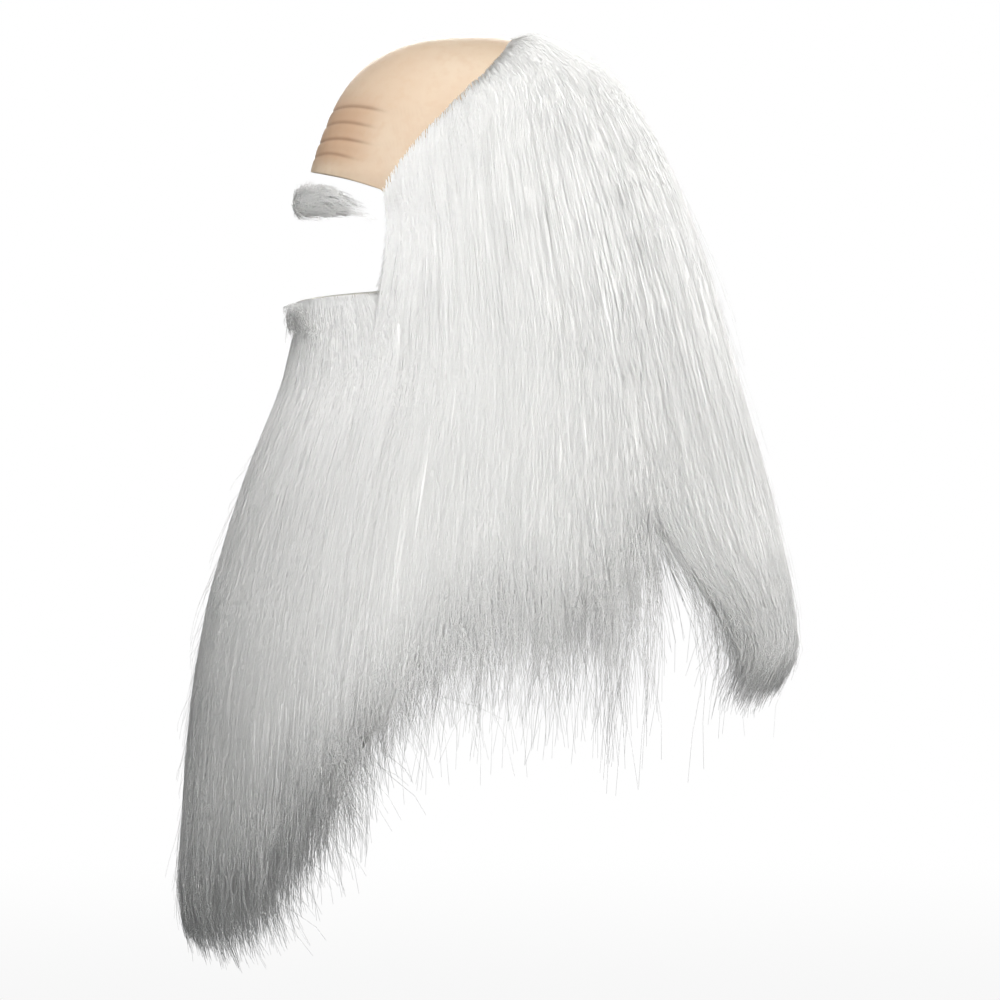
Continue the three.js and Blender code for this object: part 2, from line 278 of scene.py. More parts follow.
def make_skin():
    material, surface, start = new_material("latex_skin", 0.5, 0.35)
    place = start.to("TexCoord", {}, {}, "Object")
    cloudy = start.to("TexNoise", {}, {"Vector": place, "Scale": 22, "Detail": 3}, "Fac")
    mottled = start.to("TexNoise", {}, {"Vector": place, "Scale": 150, "Detail": 4}, "Fac")
    pores = start.to("TexNoise", {}, {"Vector": place, "Scale": 900, "Detail": 2}, "Fac")
    crease_zone_shade = start.to("Attribute", {"attribute_name": "crease_zone_shade"}, {}, "Fac")
    crease = start.to("Attribute", {"attribute_name": "crease"}, {}, "Fac")
    colour = cloudy.between(0.38, 0.66).blend(SKIN, SKIN_PALE)
    colour = (mottled.between(0.42, 0.75) * 0.5).blend(colour, SKIN_WARM)
    # Painted shade darkens the skin between the creases.
    colour = (crease_zone_shade * (0.4 + 0.25 * cloudy)).blend(colour, SKIN_PAINTED_SHADE)
    # Painted shade darkens each crease, which is also cut into the mesh.
    colour = (crease * 0.6).blend(colour, SKIN_CREASE_SHADE)
    colour.into(surface["Base Color"])
    (0.46 + 0.16 * mottled).into(surface["Roughness"])
    height = 0.6 * mottled + 0.4 * pores
    bump = start.to("Bump", {}, {"Strength": 0.12, "Distance": 0.0006, "Height": height})
    bump.into(surface["Normal"])
    return material


skin = make_skin()
print("skin nodes:", len(skin.node_tree.nodes))

# %% [markdown]
# ## Bald cap
#
# The cap is one thin skin from the forehead to the back. A ball cut open would leave a ragged
# edge across the forehead, so a flat grid is bent instead: its rows run from the crown to the
# rim, and its last row is the rim itself, across the forehead, down the sides and round the back.
# The columns leave the crown evenly and bend towards their place on the rim. The grid's two sides
# meet at the back, and its first row is the crown.

# %% The rim and the creases
CAP_THICKNESS = 1.6
RIM = table(
    "along start deg z",
    [
        (0, 0, 0, -86.5),
        (0.12, 20, 20, -87.7),
        (0.24, 39, 39.6, -91),
        (0.32, 52, 53.5, -96.2),
        (0.36, 57, 58.2, -99.5),
        (0.4, 62, 60.6, -108),
        (0.46, 69, 61, -128),
        (0.53, 77, 59.6, -150),
        (0.6, 86, 58, -168),
        (0.65, 93, 57.7, -183),
        (0.67, 96, 59, -186),
        (0.78, 119, 96, -186),
        (1, 180, 180, -186),
    ],
)
CAP_ROWS = table("share down", [(0, 0), (0.16, 0.4), (0.42, 0.68), (0.9, 0.95), (1, 1)])
FOREHEAD = table(
    "z out",
    [(0, 0), (-6, 1.8), (-15, 1.4), (-26, 0), (-40, -2), (-56, -3.4), (-72, -2.4), (-87, 0)],
)
CREASES = table(
    "z reach depth",
    [(-47, 56, 1.0), (-57, 52, 0.9), (-68, 52, 1.0), (-78, 46, 0.8)],
)
CREASE_ARCH = 4
CREASE_DROP = 1.5
CREASE_WIDTH = 0.95
FOLD_BELOW = 4.0
FOLD_WIDTH = 2.6


def crease_at(deg, z):
    deepest = np.zeros_like(z)
    fold = np.zeros_like(z)
    for middle, reach, depth in zip(*CREASES.values()):
        along = np.minimum(from_face(deg) / reach, 1)
        line = middle + CREASE_ARCH * np.sin(np.pi * along**1.2) - CREASE_DROP * along
        strength = depth * (1 - ease(along, 0.75, 1.05))
        above = z - line
        deepest = np.maximum(deepest, strength * np.exp(-((above / CREASE_WIDTH) ** 2)))
        fold = fold + strength * np.exp(-(((above + FOLD_BELOW) / FOLD_WIDTH) ** 2))
    return deepest, fold


print("creases:", len(CREASES["z"]))


# %% Bending a grid
def bent(bm, columns, rows, place):
    made = bmesh.ops.create_grid(bm, x_segments=columns, y_segments=rows, size=0.5)["verts"]
    flat = np.array([vert.co[:2] for vert in made]) + 0.5
    for vert, spot in zip(made, place(flat[:, 0], flat[:, 1]) * MM):
        vert.co = spot
    return made, flat


def finished(bm, name, node, slot, material):
    mesh = bpy.data.meshes.new(name)
    bm.to_mesh(mesh)
    bm.free()
    return placed(mesh, node, slot, material)


def placed(mesh, node, slot, material):
    mesh.polygons.foreach_set("use_smooth", np.ones(len(mesh.polygons), bool))
    piece = bpy.data.objects.new(mesh.name, mesh)
    bpy.context.scene.collection.objects.link(piece)
    mesh.materials.append(material)
    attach(piece, "root")
    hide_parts(node)
    return piece


print("pieces are placed with", placed.__name__)

# %% Cap
CAP_GRID = (120, 104)
CREASE_CUT = 0.55
FOLD_SWELL = 0.2
TOUCHING = 1e-6


def cap_angles(u, v):
    side = 2 * u - 1
    along = np.abs(side)
    share = read(CAP_ROWS, "share", "down", v)
    reach = mix(read(RIM, "along", "start", along), read(RIM, "along", "deg", along), share**3)
    down = share * down_of(read(RIM, "along", "z", along))
    return np.sign(side) * reach, down


def cap_place(u, v):
    deg, down = cap_angles(u, v)
    z = height_of(down)
    groove, fold = crease_at(deg, z)
    slope = read(FOREHEAD, "z", "out", z) * ease(from_face(deg), 80, 30)
    return on_head(deg, down, CAP_THICKNESS + slope - CREASE_CUT * groove + FOLD_SWELL * fold)


cap_mesh = bmesh.new()
crease_layer = cap_mesh.verts.layers.float.new("crease")
crease_zone_shade_layer = cap_mesh.verts.layers.float.new("crease_zone_shade")
cap_verts, cap_flat = bent(cap_mesh, *CAP_GRID, cap_place)
cap_deg, cap_down = cap_angles(cap_flat[:, 0], cap_flat[:, 1])
cap_z = height_of(cap_down)
cap_crease = crease_at(cap_deg, cap_z)[0]
# Mask for the painted shade on the lower forehead between the creases.
cap_crease_zone_shade = ease(from_face(cap_deg), 58, 34) * ease(cap_z, -32, -50) * ease(cap_z, -86, -76)
for vert, crease, crease_zone_shade in zip(cap_verts, cap_crease, cap_crease_zone_shade):
    vert[crease_layer] = crease
    vert[crease_zone_shade_layer] = crease_zone_shade
bmesh.ops.remove_doubles(cap_mesh, verts=cap_mesh.verts, dist=TOUCHING)
bmesh.ops.recalc_face_normals(cap_mesh, faces=cap_mesh.faces)
cap = finished(cap_mesh, "cap", "bald_cap", "latex_skin", skin)
wall = cap.modifiers.new("wall", "SOLIDIFY")
wall.thickness = CAP_THICKNESS * MM
wall.offset = -1
print("cap faces:", len(cap.data.polygons))

# %% [markdown]
# ## Backing cloth
#
# The beard is sewn to a strip of off-white cloth that runs from side to side. Only its cut edge
# shows along the top, and its inside shows from above. It is a bent grid with a wall, and its
# weave is two waves crossing on its own map.

# %% Cloth material
CLOTH = (0.72, 0.7, 0.64, 1)
CLOTH_SHADE = (0.5, 0.48, 0.43, 1)


def make_cloth():
    material, surface, start = new_material("backing_cloth", 0.9, 0.2)
    place = start.to("UVMap", {"uv_map": "Weave"}, {})
    across = start.to("SeparateXYZ", {}, {0: place}, "X")
    along = start.to("SeparateXYZ", {}, {0: place}, "Y")
    warp = start.to("Math", {"operation": "SINE"}, {0: across * 1900})
    weft = start.to("Math", {"operation": "SINE"}, {0: along * 700})
    uneven = start.to("TexNoise", {}, {"Vector": place, "Scale": 40, "Detail": 3}, "Fac")
    thread = 0.5 + 0.25 * (warp * weft) + 0.4 * (uneven - 0.5)
    thread.blend(CLOTH_SHADE, CLOTH).into(surface["Base Color"])
    (0.95 - 0.15 * thread).into(surface["Roughness"])
    bump = start.to("Bump", {}, {"Strength": 0.35, "Distance": 0.0004, "Height": thread})
    bump.into(surface["Normal"])
    return material


cloth = make_cloth()
print("cloth nodes:", len(cloth.node_tree.nodes))

# %% Backing
BACKING_GRID = (90, 24)
BACKING_THICKNESS = 1.5
BACKING_END = 62.2
CHEEK_LINE = table("deg z", [(0, -172), (30, -168), (60, -164)])


def backing_end(z):
    front = -on_face(0.0, z, 0.0)[..., 1]
    return np.degrees(np.arccos((BACKING_END / front) ** (SQUARED / 2)))


def backing_place(u, v):
    cheek = backing_end(np.full_like(u, FACE["top"])) * (2 * u - 1)
    z = mix(read(CHEEK_LINE, "deg", "z", np.abs(cheek)), FACE["chin"], v)
    return on_face(backing_end(z) * (2 * u - 1), z, BACKING_THICKNESS)


def map_flat(bm, name, flat):
    layer = bm.loops.layers.uv.new(name)
    bm.verts.index_update()
    for face in bm.faces:
        for corner in face.loops:
            corner[layer].uv = flat[corner.vert.index]


backing_mesh = bmesh.new()
map_flat(backing_mesh, "Weave", bent(backing_mesh, *BACKING_GRID, backing_place)[1])
bmesh.ops.recalc_face_normals(backing_mesh, faces=backing_mesh.faces)
if sum(face.normal.y for face in backing_mesh.faces) > 0:
    bmesh.ops.reverse_faces(backing_mesh, faces=backing_mesh.faces)
backing_area = sum(face.calc_area() for face in backing_mesh.faces)
backing = finished(backing_mesh, "backing", "beard_backing", "backing_cloth", cloth)
wall = backing.modifiers.new("wall", "SOLIDIFY")
wall.thickness = BACKING_THICKNESS * MM
wall.offset = -1
print("backing cloth:", round(backing_area * 1e4, 1), "square cm")

# %% [markdown]
# ## How hair falls
#
# A strand starts on the cap or on the backing, swells out to the outline and then hangs. `fall`
# puts a strand's point between its seat and the outline by how far down it is. The same functions
# place the dense body of the hair and each loose strand, so they always agree. `ENDS` gives the
# heights where the hair starts to thin and where its last tips are, and `TIPS` is the smoother
# line that `fall` measures by.
#
# The front edge of the hair follows the cap's rim down and then spills over the side of the
# beard, so no slit opens between them. Behind the parting the hair is combed to the back, and
# behind the crown it stands up a few millimetres from its roots, as thick hair does.

# %% Hair and beard surfaces
HAIR_FRONT = 58.4
HAIRLINE = table(
    "deg z",
    [
        (HAIR_FRONT, -98),
        (66, -78.6),
        (73, -62.4),
        (81, -46),
        (90, -29),
        (104, -15),
        (126, -6),
        (180, -2.4),
    ],
)
ENDS = table(
    "deg dense tip thin",
    [
        (0, -560, -594, 1),
        (24, -562, -600, 1),
        (40, -554, -594, 1),
        (50, -522, -570, 1),
        (60, -478, -532, 1),
        (70, -440, -492, 1.2),
        (78, -392, -470, 1.4),
        (90, -362, -460, 1.4),
        (102, -366, -462, 1.4),
        (113, -350, -464, 1.8),
        (122, -314, -460, 2.5),
        (127, -368, -446, 2),
        (134, -398, -438, 1.2),
        (146, -404, -436, 1),
        (160, -402, -432, 1),
        (180, -396, -424, 1),
    ],
)
HAIR_EDGE = table(
    "z deg",
    [
        (0, HAIR_FRONT),
        (-98, HAIR_FRONT),
        (-112, 59.8),
        (-130, 59.6),
        (-150, 57.6),
        (-168, 55),
        (-186, 53.4),
        (-240, 53.6),
        (-700, 54),
    ],
)
TIPS = table(
    "deg z",
    [
        (0, -578),
        (24, -582),
        (40, -575),
        (50, -555),
        (60, -518),
        (72, -478),
        (90, -450),
        (112, -452),
        (132, -432),
        (155, -422),
        (180, -414),
    ],
)
HAIR_CROWDING = 2.0
BEARD_CROWDING = 1.4
HAIR_SWELL = (0.72, 0.2)
BEARD_SWELL = (0.28, 0.15)


def fall(deg, z, depth, root, seat, swell, crowding):
    tip = read(TIPS, "deg", "z", from_face(deg))
    down = np.clip((root - z) / (root - tip), 0, 1) ** (1 / crowding)
    return mix(seat, outline(deg, z, depth), ease(down, 0, swell)[..., None])


def hair_root(deg):
    return read(HAIRLINE, "deg", "z", from_face(deg))


def beard_root(deg):
    return read(CHEEK_LINE, "deg", "z", from_face(deg))


def hair_at(deg, z, depth, lift):
    swell = mix(*HAIR_SWELL, ease(from_face(deg), 56, 100))
    seat = on_head(deg, down_of(z), CAP_THICKNESS + lift)
    return fall(deg, z, depth, hair_root(deg), seat, swell, HAIR_CROWDING)


def beard_at(deg, z, depth, lift):
    seat = on_face(deg, z, BACKING_THICKNESS + lift)
    swell = mix(*BEARD_SWELL, ease(from_face(deg), 48, 60))
    return fall(deg, z, depth, beard_root(deg), seat, swell, BEARD_CROWDING)


print("nape hair hangs to", read(ENDS, "deg", "tip", 180.0), "mm")

# %% Edges, parting and crown
PARTING = 124
COMBED_BACK = 0.34
SPILL = 9
CROWN_RISE = 7.5
BEARD_REACH = 58.0
BEARD_SIDE = (60.5, 59.5)


def spilling(z):
    return ease(z, -175, -300)


def hair_edge(deg, z, home):
    edge = read(HAIR_EDGE, "z", "deg", z)
    around = from_face(home)
    behind = ease(around, PARTING - 2, PARTING + 2)
    swept = (180 - around) * COMBED_BACK * ease(z, -290, -430) * behind
    swept = swept + (edge - HAIR_FRONT) * ease(around, 82, HAIR_FRONT)
    edge = edge - SPILL * spilling(z)
    return np.clip(deg + np.sign(180 - home) * swept, edge, 360 - edge)


def crown_rise(deg, down):
    return CROWN_RISE * ease(down, 0, 0.05) * ease(from_face(deg), 92, 145)


def beard_edge(share, z):
    root = beard_root(BEARD_REACH)
    tip = read(TIPS, "deg", "z", BEARD_REACH)
    down = np.clip((root - z) / (root - tip), 0, 1) ** (1 / BEARD_CROWDING)
    return share * mix(*BEARD_SIDE, ease(down, 0, 0.2))


print("the parting is", 180 - PARTING, "degrees from the nape on both sides")

# %% [markdown]
# ## White fibre
#
# Synthetic hair is near white, and its strands differ a little in brightness, which makes the
# fine streaks. On the strands the tint comes from their own map: its columns are tints, and its
# rows run from root to tip. The dense body under them has streaks drawn along its own map
# instead.

# %% Hair materials
TINTS = 64
HAIR_LIGHT = (0.95, 0.945, 0.93, 1)
HAIR_SHADE = (0.88, 0.875, 0.855, 1)


def make_strand_hair():
    material, surface, start = new_material("white_hair", 0.5, 0.4)
    place = start.to("UVMap", {"uv_map": "OFBake"}, {})
    across = start.to("SeparateXYZ", {}, {0: place}, "X")
    along = start.to("SeparateXYZ", {}, {0: place}, "Y")
    column = start.to("Math", {"operation": "FLOOR"}, {0: across * TINTS})
    tint = start.to("TexWhiteNoise", {"noise_dimensions": "1D"}, {"W": column}, "Value")
    tint.blend(HAIR_SHADE, HAIR_LIGHT).into(surface["Base Color"])
    (0.42 + 0.2 * along).into(surface["Roughness"])
    return material


def make_body_hair():
    material, surface, start = new_material("white_hair_body", 0.55, 0.3)
    place = start.to("UVMap", {"uv_map": "Flow"}, {})
    across = start.to("SeparateXYZ", {}, {0: place}, "X")
    along = start.to("SeparateXYZ", {}, {0: place}, "Y")
    fine = start.to("CombineXYZ", {}, {"X": across * 420, "Y": along * 5})
    broad = start.to("CombineXYZ", {}, {"X": across * 70, "Y": along * 2})
    streaks = start.to("TexNoise", {}, {"Vector": fine, "Scale": 1, "Detail": 3}, "Fac")
    locks = start.to("TexNoise", {}, {"Vector": broad, "Scale": 1, "Detail": 2}, "Fac")
    shade = 0.7 * streaks.between(0.3, 0.7) + 0.3 * locks.between(0.35, 0.65)
    shade.blend(HAIR_SHADE, HAIR_LIGHT).into(surface["Base Color"])
    (0.5 + 0.15 * streaks).into(surface["Roughness"])
    bump = start.to("Bump", {}, {"Strength": 0.3, "Distance": 0.0008, "Height": streaks})
    bump.into(surface["Normal"])
    return material


strand_hair = make_strand_hair()
body_hair = make_body_hair()
print("tints of white:", TINTS)

# %% [markdown]
# ## The dense body
#
# Behind the loose strands the hair is so thick that nothing shows through it. Modelling that
# depth strand by strand would waste millions of faces, so a closed wall stands for it: two bent
# grids, an outer and an inner, that meet along all their edges. It stops well above the tips,
# where the loose strands take over. The inner grid is waved into shallow locks, because it shows
# from behind and from above.

# %% A closed wall of hair
LOCK_DEPTH = 1.3


def hair_wall(name, node, wall, place):
    bm = bmesh.new()
    maps = []
    for inner in (0.0, 1.0):
        made = bent(bm, wall["columns"], wall["rows"], lambda u, v: place(u, v, inner))
        maps.append(made[1])
    map_flat(bm, "Flow", np.concatenate(maps))
    bmesh.ops.remove_doubles(bm, verts=bm.verts, dist=TOUCHING)
    bmesh.ops.recalc_face_normals(bm, faces=bm.faces)
    piece = finished(bm, name, node, "white_hair", body_hair)
    print(name, "faces:", len(piece.data.polygons))


def thick_inside(u, v):
    return ease(v, 0, 0.1) * ease(v, 1, 0.7) * ease(u, 0, 0.03) * ease(u, 1, 0.97)


def ragged(u, amount):
    return amount * (np.sin(97 * u) + np.sin(211 * u + 1) + np.sin(389 * u + 2)) / 3


def inner_locks(u, v):
    return LOCK_DEPTH * (np.sin(118 * u + 2 * v) + np.sin(71 * u + 1 - 3 * v))


print("walls are made with", hair_wall.__name__)

# %% Hair body and beard body
HAIR_ARC = (58.2, 301.8)
HAIR_WALL = {"columns": 150, "rows": 44, "depth": 3.3, "thickness": 6}
BEARD_WALL = {"columns": 84, "rows": 44, "depth": 4, "thickness": 7}


def hair_body_place(u, v, inner):
    deg = mix(*HAIR_ARC, u)
    end = read(ENDS, "deg", "dense", from_face(deg)) + 3 + ragged(u, 16)
    root = height_of(down_of(hair_root(deg)) + 0.025)
    z = mix(root, end, v**2)
    inside = inner * thick_inside(u, v)
    depth = HAIR_WALL["depth"] + 2 * ease(v, 0.9, 1) + 3 * ease(np.abs(2 * u - 1), 0.9, 1)
    depth = depth + inside * (HAIR_WALL["thickness"] + inner_locks(u, v))
    lift = mix(0.1, 1.1, ease(v, 0.05, 0.35))
    lift = lift + 0.75 * crown_rise(deg, down_of(z) - down_of(root))
    return hair_at(hair_edge(deg, z, deg), z, depth, lift - 0.2 * inside)


def beard_body_place(u, v, inner):
    share = 2 * u - 1
    end = read(ENDS, "deg", "dense", 59 * np.abs(share)) + 8 + ragged(u, 14)
    z = mix(beard_root(60 * share) - 2.5, end, v**1.4)
    inside = inner * thick_inside(u, v)
    depth = BEARD_WALL["depth"] + 3.5 * ease(v, 0.85, 1)
    depth = depth + inside * (BEARD_WALL["thickness"] + inner_locks(0.7 * u, v))
    lift = mix(0.1, 0.9, ease(v, 0.05, 0.3))
    return beard_at(beard_edge(share, z), z, depth, lift - 0.2 * inside)


hair_wall("hair_body", "long_hair", HAIR_WALL, hair_body_place)
hair_wall("beard_body", "beard", BEARD_WALL, beard_body_place)

# %% [markdown]
# ## One strand, many times
#
# A strand is a thin three-sided tube that tapers to its tip. Blender could grow hair curves, but
# a mesh keeps its form everywhere, and arrays make thousands of tubes at once. Each tube takes
# one column of the tint map.


# %% Strands from paths
def strand_piece(name, node, paths, radius, across):
    count, steps = paths.shape[:2]
    run = np.gradient(paths, axis=1)
    run /= np.linalg.norm(run, axis=2, keepdims=True) + 1e-12
    first = across[:, None] - run * np.sum(across[:, None] * run, 2, keepdims=True)
    first /= np.linalg.norm(first, axis=2, keepdims=True) + 1e-12
    second = np.cross(run, first)
    taper = radius * mix(1.0, 0.45, ease(np.linspace(0, 1, steps), 0.4, 1))
    turns = np.radians([0, 120, 240])
    ring = first[:, :, None] * np.cos(turns)[:, None] + second[:, :, None] * np.sin(turns)[:, None]
    verts = paths[:, :, None] + ring * taper[None, :, None, None]
    strand_mesh(name, node, verts.reshape(-1, 3) * MM, count, steps)


def strand_mesh(name, node, verts, count, steps):
    step, corner = np.meshgrid(np.arange(steps - 1), np.arange(3), indexing="ij")
    here, beside = 3 * step + corner, 3 * step + (corner + 1) % 3
    quads = np.stack([here, beside, beside + 3, here + 3], -1).reshape(-1, 4)
    last = 3 * (steps - 1)
    ends = np.array([[2, 1, 0], [last, last + 1, last + 2]])
    one = np.concatenate([quads.ravel(), ends.ravel()])
    sizes = np.tile(np.r_[np.full(len(quads), 4), 3, 3], count)
    corners = (one + 3 * steps * np.arange(count)[:, None]).ravel()
    mesh = bpy.data.meshes.new(name)
    mesh.vertices.add(len(verts))
    mesh.vertices.foreach_set("co", verts.ravel())
    mesh.loops.add(len(corners))
    mesh.loops.foreach_set("vertex_index", corners)
    mesh.polygons.add(len(sizes))
    mesh.polygons.foreach_set("loop_start", np.cumsum(sizes) - sizes)
    map_tints(mesh, quads, step.ravel(), count, steps)
    mesh.update(calc_edges=True)
    placed(mesh, node, "white_hair", strand_hair)
    print(name, "strands:", count, "triangles:", count * (6 * (steps - 1) + 2))


def map_tints(mesh, quads, step, count, steps):
    low = 0.03 + 0.94 * step / (steps - 1)
    high = 0.03 + 0.94 * (step + 1) / (steps - 1)
    left, right = np.full(len(quads), 0.2), np.full(len(quads), 0.8)
    sides = np.stack([left, low, right, low, right, high, left, high], -1).reshape(-1, 2)
    ends = np.array([(0.2, 0.03), (0.8, 0.03), (0.5, 0.05), (0.2, 0.97), (0.8, 0.97), (0.5, 0.95)])
    one = np.concatenate([sides, ends])
    column = rng.integers(0, TINTS, count)
    spots = np.repeat(one[None], count, 0)
    spots[:, :, 0] = (spots[:, :, 0] + column[:, None]) / TINTS
    layer = mesh.uv_layers.new(name="OFBake")
    layer.uv.foreach_set("vector", spots.ravel())


def sway(count, along, cycles, size):
    phase = rng.uniform(0, 2 * np.pi, (count, 1))
    rate = cycles * rng.uniform(0.6, 1.4, (count, 1))
    amount = rng.normal(0, size, (count, 1))
    return amount * along**1.3 * np.sin(phase + 2 * np.pi * rate * along)


def sideways(deg):
    turn = np.radians(deg[:, 0])
    return np.stack([np.cos(turn), np.sin(turn), np.zeros(len(turn))], -1)


print("one strand of 12 steps has", 6 * 11 + 2, "triangles")

# %% [markdown]
# ## Long hair
#
# Strands leave the hairline, lie in a layer a few millimetres deep over the dense body, and end
# anywhere between the thinning line and the tips, so the lower edge frays. Neighbours gather into
# small locks towards their ends. The steps of a strand are short at its root, where it bends over
# the cap. They are also uneven, because the corners of even steps would line up into bands of
# light across the hair.

# %% Hair strands
STRAND = 0.2


def gathered(deg, pull, along):
    centre = deg + 1.6 * np.sin(2.1 * deg) + 0.9 * np.sin(5.3 * deg + 1)
    return (centre - deg) * pull * ease(along, 0.45, 1)


def chance(count, low, high):
    return rng.uniform(low, high, (count, 1))


def hair_end(deg, share):
    around = from_face(deg)
    thinned = np.sign(share) * np.abs(share) ** read(ENDS, "deg", "thin", around)
    return mix(read(ENDS, "deg", "dense", around), read(ENDS, "deg", "tip", around), thinned)


def uneven_steps(count, steps):
    even = np.arange(steps) + np.zeros((count, 1))
    even[:, 1:-1] += rng.uniform(-0.4, 0.4, (count, steps - 2))
    return even / (steps - 1)


def hair_strands(name, count, low, high):
    along = uneven_steps(count, 12) ** 1.7
    deg = chance(count, low, high)
    root = down_of(hair_root(deg)) + chance(count, -0.015, 0.03)
    z = height_of(mix(root, down_of(hair_end(deg, chance(count, -0.35, 0.6))), along))
    turn = deg + gathered(deg, chance(count, 0, 0.8), along) + sway(count, along, 1.3, 1.1)
    spill = chance(count, 0, SPILL) * spilling(z) * ease(from_face(deg), 76, 62)
    turn = turn - np.sign(180 - deg) * spill
    layer = chance(count, 0, 1)
    depth = 1.7 + 1.3 * layer + sway(count, along, 1.2, 0.5)
    lift = mix(0.5, 2.3 - 0.5 * layer, ease(along, 0, 0.035)) + crown_rise(deg, down_of(z) - root)
    paths = hair_at(hair_edge(turn, z, deg), z, depth, lift)
    strand_piece(name, "long_hair", paths, STRAND, sideways(deg))


hair_strands("hair_left", 1650, 57.5, 128)
hair_strands("hair_back", 1600, 128, 232)
hair_strands("hair_right", 1650, 232, 302.5)

# %% [markdown]
# ## Loose ends
#
# Below the dense body the hair is a curtain of loose ends that cross each other. Separate random
# hairs would look like a brush, so the ends hang in many narrow locks, each with its own lean and
# length, and every hair strays a little from its lock. They start under the long strands, where
# their roots don't show. A few flyaway hairs stand off the outline.

# %% Hair ends and flyaways
LOOSE_END = 0.18
FLYAWAY = 0.12
LOCKS_APART = 1.1
LOCK_SPREAD = 1.5


def picked_locks(count, low, high):
    centre = np.arange(low, high, LOCKS_APART)
    number = len(centre)
    chosen = rng.integers(0, number, count)
    centre = centre + rng.normal(0, LOCKS_APART / 3, number)
    lean = rng.normal(0, 2.5, number)
    length = rng.uniform(0.6, 1.15, number)
    return centre[chosen, None], lean[chosen, None], length[chosen, None]


def end_heights(count, along, centre, length):
    start = hair_end(centre, 0) + chance(count, 15, 120)
    return mix(start, hair_end(centre, length * chance(count, 0.25, 1)), along)


def end_turns(count, along, centre, lean):
    start = centre + rng.normal(0, LOCK_SPREAD, (count, 1))
    stray = rng.normal(0, 1, (count, 1)) * mix(0.8, 6.5, chance(count, 0, 1) ** 3)
    hook = rng.normal(0, 3.0, (count, 1)) * ease(along, 0.45, 1) ** 1.6
    return mix(start, centre + lean + stray, ease(along, 0.1, 1) ** 1.3) + hook


def hair_ends(name, count, low, high):
    along = np.linspace(0, 1, 7)
    centre, lean, length = picked_locks(count, low, high)
    z = end_heights(count, along, centre, length)
    turn = end_turns(count, along, centre, lean)
    depth = mix(chance(count, 1.5, 3.5), chance(count, -1, 6), along) + sway(count, along, 0.8, 2)
    paths = hair_at(hair_edge(turn, z, centre), z, depth, 1.0)
    strand_piece(name, "long_hair", paths, LOOSE_END, sideways(centre))


def hair_flyaways(name, count):
    along = np.linspace(0, 1, 8)
    deg = chance(count, 62, 298)
    start = mix(hair_root(deg), hair_end(deg, 0), chance(count, 0.1, 0.8))
    z = start - chance(count, 50, 150) * along
    depth = 2.5 - chance(count, 2, 8) * ease(along, 0, 1) + sway(count, along, 0.8, 1.5)
    turn = deg + sway(count, along, 0.8, 1.8)
    paths = hair_at(hair_edge(turn, z, deg), z, depth, 2.5)
    strand_piece(name, "long_hair", paths, FLYAWAY, sideways(deg))


hair_ends("hair_ends_left", 2100, 57, 150)
hair_ends("hair_ends_right", 2100, 210, 303)
hair_ends("hair_ends_back", 900, 150, 210)
hair_flyaways("hair_loose", 240)

# %% [markdown]
# ## Short hairs along the front edge
#
# In front the hair meets bare latex. On a real wig it is knotted into the edge there, and short
# hairs lie over it. The edge of the dense body alone would be a hard line, so short bent hairs
# are laid on the cap along it, every second one on the other side.

# %% Edge hairs
EDGE_HAIR = 0.16


def edge_fuzz(name, count):
    along = np.linspace(0, 1, 5)
    z = chance(count, -160, -97) - chance(count, 3, 12) * along**1.5
    edge = read(HAIR_EDGE, "z", "deg", z)
    turn = edge + mix(chance(count, 1.5, 5), chance(count, -0.6, 2.5), along)
    turn = np.where(np.arange(count)[:, None] % 2, turn, 360 - turn)
    lift = CAP_THICKNESS + 0.3 + chance(count, 0.2, 1.8) * np.sin(np.pi * 0.7 * along)
    paths = on_head(turn, down_of(z), lift)
    strand_piece(name, "long_hair", paths, EDGE_HAIR, sideways(turn[:, :1]))


edge_fuzz("hair_fuzz", 560)

# %% [markdown]
# ## Beard
#
# The beard is made in the same way from the cut edge of its backing. Its strands slant forward
# from the sides to the front, and its blunt end is dense nearly to the tips.


# %% Beard strands
def beard_strands(name, count, low, high):
    along = uneven_steps(count, 10) ** 1.5
    share = chance(count, low, high)
    deg = BEARD_REACH * share
    root = beard_root(deg) - 0.2 - chance(count, 0, 1) ** 3 * 9
    z = mix(root, hair_end(deg, chance(count, -0.35, 0.7)), along**1.3)
    drift = gathered(deg, chance(count, 0, 0.8), along) + sway(count, along, 1.4, 0.9)
    turn = share + drift / BEARD_REACH
    layer = chance(count, 0, 1)
    depth = 1.6 + 1.5 * layer + sway(count, along, 1.2, 0.6)
    lift = mix(0.5, 2.0 - 0.5 * layer, ease(along, 0, 0.08))
    paths = beard_at(beard_edge(np.clip(turn, -1, 1), z), z, depth, lift)
    strand_piece(name, "beard", paths, STRAND, sideways(deg))


def beard_ends(name, count):
    along = np.linspace(0, 1, 7)
    centre, lean, length = picked_locks(count, -60, 60)
    z = end_heights(count, along, centre, length)
    turn = end_turns(count, along, centre, lean) / BEARD_REACH
    depth = mix(chance(count, 1.5, 6), chance(count, 0, 12), along) + sway(count, along, 0.8, 2.5)
    paths = beard_at(beard_edge(np.clip(turn, -1.12, 1.12), z), z, depth, 1.0)
    strand_piece(name, "beard", paths, LOOSE_END, sideways(centre))


def beard_flyaways(name, count):
    along = np.linspace(0, 1, 8)
    share = chance(count, -0.9, 0.9)
    lowest = hair_end(BEARD_REACH * share, 0) + 40
    z = mix(-230, lowest, chance(count, 0, 1) ** 0.7) - chance(count, 20, 80) * along
    depth = 2.5 - chance(count, 2, 10) * ease(along, 0, 1) + sway(count, along, 0.8, 1.5)
    turn = share + sway(count, along, 0.8, 1.8) / BEARD_REACH
    paths = beard_at(beard_edge(turn, z), z, depth, 2.0)
    strand_piece(name, "beard", paths, FLYAWAY, sideways(BEARD_REACH * share))


beard_strands("beard_left", 1500, -0.02, 1)
beard_strands("beard_right", 1500, -1, 0.02)
beard_ends("beard_ends", 2300)
beard_flyaways("beard_loose", 220)

